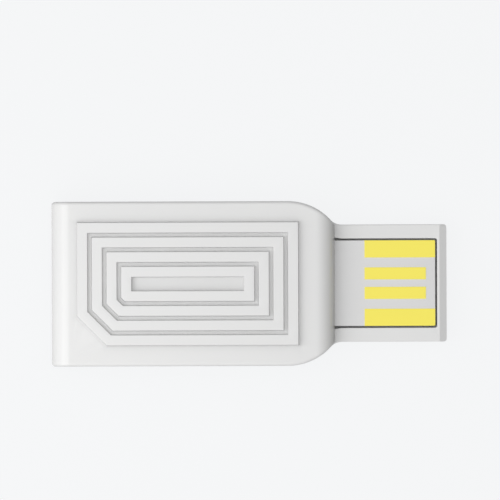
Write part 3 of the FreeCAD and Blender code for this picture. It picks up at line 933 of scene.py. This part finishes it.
# %% Contours of the outside, from the base up to the rim
def outside_row(height):
    """The inset of the rounded base edge or of the rim's bevel, and the sloping rear and tip."""
    foot = max(long_edge_radius - height, 0)
    rim = max(height - (seam - seam_edge), 0)
    inset = long_edge_radius - math.sqrt(long_edge_radius**2 - foot**2) + rim
    low = max(base_radius - height, 0)
    x_back = x_rear + base_radius - math.sqrt(base_radius**2 - low**2) + rim
    nose = nose_run * max(height - (seam - nose_drop), 0) / nose_drop
    keel = keel_run * max(1 - height / keel_drop, 0)
    half = outer_half(inset, x_back)
    half[:, 0] = np.minimum(half[:, 0], x_tip - nose - keel)
    return at_height(both_halves(half, half), height)


turns = np.radians(np.linspace(0, 90, 16))
levels = {keel_drop, seam - nose_drop, seam - seam_edge, seam}
levels |= set(base_radius * (1 - np.cos(turns))) | set(long_edge_radius * (1 - np.cos(turns[::3])))
outside_rows = np.stack([outside_row(height) for height in sorted(levels)])
print("heights of the outside:", len(outside_rows))

# %% [markdown]
# The inside starts at the rim. Round the body it first climbs over the lip, which the cover's
# rebate takes; at the window it rolls over a small rounded edge instead. Below, the window's
# floor is a ledge at the board's underside, and the cavity goes down a little further.

# %% Contours of the inside
window_gap, window_flare, window_flare_run = 0.2, 0.13, 0.7
window_wall = 0.97
window_corner = 0.22
window_edge = 0.05
board_base = board_low[2]
shell_floor = board_base - 0.2
half_tongue = 4.375
wall_overlap = 0.02
half_window = half_tongue + window_gap


def on_line(points, share):
    """Points at the shares of the length of a run of straight lines."""
    points = np.asarray(points, float)
    lengths = np.concatenate([[0], np.cumsum(np.hypot(*np.diff(points, axis=0).T))])
    place = share * lengths[-1]
    return np.stack([np.interp(place, lengths, points[:, axis]) for axis in (0, 1)], axis=-1)


def inner_half(inset, offset=0.0):
    """The body's plan moved in by the inset, then the front wall and the window let out by offset."""
    x_back, y_side = x_rear + inset, half_body - inset
    radius = shoulder_radius - inset
    stop = math.degrees(math.acos((cavity_front - shoulder_x) / radius))
    wide, narrow = half_window + window_flare + offset, half_window + offset
    x_end = x_tip - window_wall + offset
    corner = window_corner + offset
    wall_top = shoulder_y + math.sqrt((shoulder_radius - side_wall) ** 2 - (cavity_front - shoulder_x) ** 2)
    stops = shell_stops
    edge = [
        (cavity_front, wide),
        (x_step, wide),
        (x_step + window_flare_run, narrow),
        (x_end - corner, narrow),
    ]
    still = np.zeros_like(stops["rear_corner"])
    return np.concatenate(
        [
            between((x_back, 0), (x_back, y_side), stops["rear"]),
            between((x_back, y_side), (x_back, y_side), still),
            between((x_back, y_side), (shoulder_x, y_side), stops["side"]),
            on_arc((shoulder_x, shoulder_y), radius, 90 - (90 - stop) * stops["shoulder"]),
            between((cavity_front, wall_top - wall_overlap), (cavity_front, wide), stops["neck"]),
            on_line(edge, stops["plug_side"]),
            on_arc((x_end - corner, narrow - corner), corner, 90 - 90 * stops["tip_corner"]),
            between((x_end, narrow - corner), (x_end, 0), stops["tip"]),
        ]
    )


body_stops = sum(len(shell_stops[name]) for name in ("rear", "rear_corner", "side", "shoulder"))
in_body = np.arange(sum(len(stops) for stops in shell_stops.values())) < body_stops
in_body = np.concatenate([in_body, in_body[::-1]])


def inside_row(inset, offset, body_height, window_height):
    """One contour whose stops in the body and round the window have their own heights."""
    half = inner_half(inset, offset)
    heights = np.where(in_body, body_height, window_height)
    return np.concatenate([both_halves(half, half), heights[:, None]], axis=1)


def ledge_row(height):
    """The cavity's outline alone: the window's stops are drawn back to the front wall."""
    half = inner_half(side_wall)
    count = sum(len(shell_stops[name]) for name in ("plug_side", "tip_corner", "tip"))
    start, end = (cavity_front, half_window + window_flare), (cavity_front, 0)
    half[-count:] = between(start, end, np.linspace(0, 1, count))
    return at_height(both_halves(half, half), height)


# The window's edge is rounded in listed rows: each row gives shares of its width and its depth.
lip_top = seam + lip_height
lip_outer = side_wall - lip_thickness
inside_rows = np.stack(
    [
        inside_row(lip_outer, window_edge, seam, seam),
        inside_row(lip_outer, 0.6 * window_edge, lip_top, seam - 0.1 * window_edge),
        inside_row(side_wall, 0.2 * window_edge, lip_top, seam - 0.4 * window_edge),
        inside_row(side_wall, 0, seam, seam - window_edge),
        inside_row(side_wall, 0, board_base, board_base),
        ledge_row(board_base),
        ledge_row(shell_floor),
    ]
)

# %% [markdown]
# On the floor stand what the board rests on: four ribs across, and four bosses that also take
# the cover's pins in their holes. Their feet reach a little into the floor, as the pins' tops
# do into the ceiling. The nose's bevel is shallow, at 30 degrees, so an edge of the shell
# counts as sharp from a smaller angle than one of the cover.

# %% Bosses and rest ribs on the floor
boss_hole = 0.5
hole_bottom = shell_floor + 0.1
boss_section = [
    (boss_radius, shell_floor - weld),
    (boss_radius, board_high[2]),
    (boss_hole, board_high[2]),
    (boss_hole, hole_bottom),
]
bosses = [turned((x, side * boss_y), boss_section) for x in boss_x for side in (-1, 1)]
rest_width, rest_side = 0.9, half_body - side_wall - 1.2
rest_first, rest_last = x_rear + side_wall + rest_width, cavity_front - 2 * rest_width
rests = [
    block((x, -rest_side, shell_floor - weld), (x + rest_width, rest_side, board_base))
    for x in np.linspace(rest_first, rest_last, 4)
]

# %% Make the shell
shell = make_piece(
    "shell_moulding", [np.concatenate([outside_rows, inside_rows]), *bosses, *rests], abs_white, sharp=28
)
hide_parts("bottom_shell")

# %% [markdown]
# ## Floor, light and camera
#
# The floor is a pale sheet. For the camera it is mostly a plain glow, so that it stays even
# from edge to edge, with a share of real reflection that keeps the soft shadow. The light is a
# small studio: a pale ceiling, a bright wall on the left and dimmer ones on the other sides.
# A softbox close to the rear end makes the face fade a little towards the plug.

# %% Rays that only show the background
def seen(tree):
    """1 for rays from the camera, or by way of gloss or glass, and 0 for those that carry light."""
    rays = add(tree, "ShaderNodeLightPath").outputs
    result = rays["Is Camera Ray"]
    for ray in ("Is Glossy Ray", "Is Transmission Ray"):
        result = add(tree, "ShaderNodeMath", {0: result, 1: rays[ray]}, operation="MAXIMUM").outputs[0]
    return result


# %% Floor
floor_half = 0.5
floor_drop = 0.02 * MM
floor_colour = "#F5F6F7"
glow_share = 0.94
floor_mesh = bpy.data.meshes.new("floor")
corners = [(x * floor_half, y * floor_half, -floor_drop) for x, y in ((-1, -1), (1, -1), (1, 1), (-1, 1))]
floor_mesh.from_pydata(corners, [], [(0, 1, 2, 3)])
floor = bpy.data.objects.new("floor", floor_mesh)
bpy.context.scene.collection.objects.link(floor)

floor_material, tree = new_material("pale_floor")
sheet = add(tree, "ShaderNodeBsdfDiffuse", {"Color": linear(floor_colour)}).outputs[0]
glow = add(tree, "ShaderNodeEmission", {"Color": linear(floor_colour), "Strength": 1.0}).outputs[0]
even = add(tree, "ShaderNodeMixShader", {0: glow_share, 1: sheet, 2: glow}).outputs[0]
dull = add(tree, "ShaderNodeBsdfDiffuse", {"Color": linear("#6A6A6A")}).outputs[0]
choice = add(tree, "ShaderNodeMixShader", {0: seen(tree), 1: dull, 2: even})
finish_material(tree, choice.outputs[0])
floor_mesh.materials.append(floor_material)

# %% Softbox
def softbox(aim, toward, near, far, length, distance, radiance):
    """A lamp on the side of the aim that toward names, between two angles from the upright."""
    near, far = math.radians(near), math.radians(far)
    tilt = (near + far) / 2
    width = 2 * distance * math.tan((far - near) / 2)
    flat = Vector((*toward, 0)).normalized()
    back = flat * math.sin(tilt) + Vector((0, 0, math.cos(tilt)))
    along = Vector((0, 0, 1)).cross(flat)
    across = back.cross(along)
    data = bpy.data.lights.new("softbox", "AREA")
    data.shape = "RECTANGLE"
    data.size = length
    data.size_y = width
    data.energy = radiance * math.pi * length * width
    lamp = bpy.data.objects.new("softbox", data)
    turn = Matrix((along, across, back)).transposed().to_4x4()
    lamp.matrix_world = Matrix.Translation(Vector(aim) + back * distance) @ turn
    bpy.context.scene.collection.objects.link(lamp)


rear_corner = (-0.019, -0.02, 0.004)
softbox(rear_corner, toward=(-1, 0), near=10, far=54, length=0.075, distance=0.06, radiance=1.22)

# %% Surround
world = bpy.data.worlds.new("surround")
bpy.context.scene.world = world
world.use_nodes = True
tree = world.node_tree
tree.nodes.clear()
# How bright the room is in each direction; it fades with the square of the cosine away from it.
wall_levels = {
    (-1, 0, 0): 1.4,
    (1, 0, 0): 0.21,
    (0, -1, 0): 0.8,
    (0, 1, 0): 0.05,
    (0, 0, 1): 1.13,
}
direction = add(tree, "ShaderNodeTexCoord").outputs["Generated"]
lit = 0.0
for toward, wall_level in wall_levels.items():
    facing = add(tree, "ShaderNodeVectorMath", {0: direction, 1: toward}, operation="DOT_PRODUCT")
    ahead = add(tree, "ShaderNodeMath", {0: facing.outputs["Value"], 1: 0.0}, operation="MAXIMUM")
    spread = add(tree, "ShaderNodeMath", {0: ahead.outputs[0], 1: 2.0}, operation="POWER")
    sum_inputs = {0: spread.outputs[0], 1: wall_level, 2: lit}
    lit = add(tree, "ShaderNodeMath", sum_inputs, operation="MULTIPLY_ADD").outputs[0]
room = add(tree, "ShaderNodeBackground", {"Color": linear("#FFFFFF"), "Strength": lit}).outputs[0]
backdrop = add(tree, "ShaderNodeBackground", {"Color": linear(floor_colour), "Strength": 1.0}).outputs[0]
choice = add(tree, "ShaderNodeMixShader", {0: seen(tree), 1: room, 2: backdrop})
add(tree, "ShaderNodeOutputWorld", {"Surface": choice.outputs[0]})

# %% [markdown]
# The photograph was taken from straight above, so far away that nothing looks nearer than the
# rest. The camera stands high over the face with a long lens. The scale and the middle of the
# adapter in the picture give the width of the view and where its centre is. The adapter lies
# a fifth of a degree askew in the picture, so the camera is turned as much.

# %% Camera
pixels_per_mm = 9.7875
middle_pixel = (249.05, 283.6)
frame_pixels = 500
view_centre = Vector(
    (
        (frame_pixels / 2 - middle_pixel[0]) / pixels_per_mm,
        (middle_pixel[1] - frame_pixels / 2) / pixels_per_mm,
        face_height,
    )
) * MM
view_width = frame_pixels / pixels_per_mm * MM
camera_height = 1.5
camera_turn = math.radians(-0.2)
camera_data = bpy.data.cameras.new("camera")
camera_data.sensor_width = 36
camera_data.lens = camera_data.sensor_width * camera_height / view_width
camera_data.clip_start = 0.01
camera = bpy.data.objects.new("camera", camera_data)
bpy.context.scene.collection.objects.link(camera)
camera.location = view_centre + Vector((0, 0, camera_height))
camera.rotation_euler = (0, 0, camera_turn)
bpy.context.scene.camera = camera
bpy.context.scene.view_settings.view_transform = "Standard"
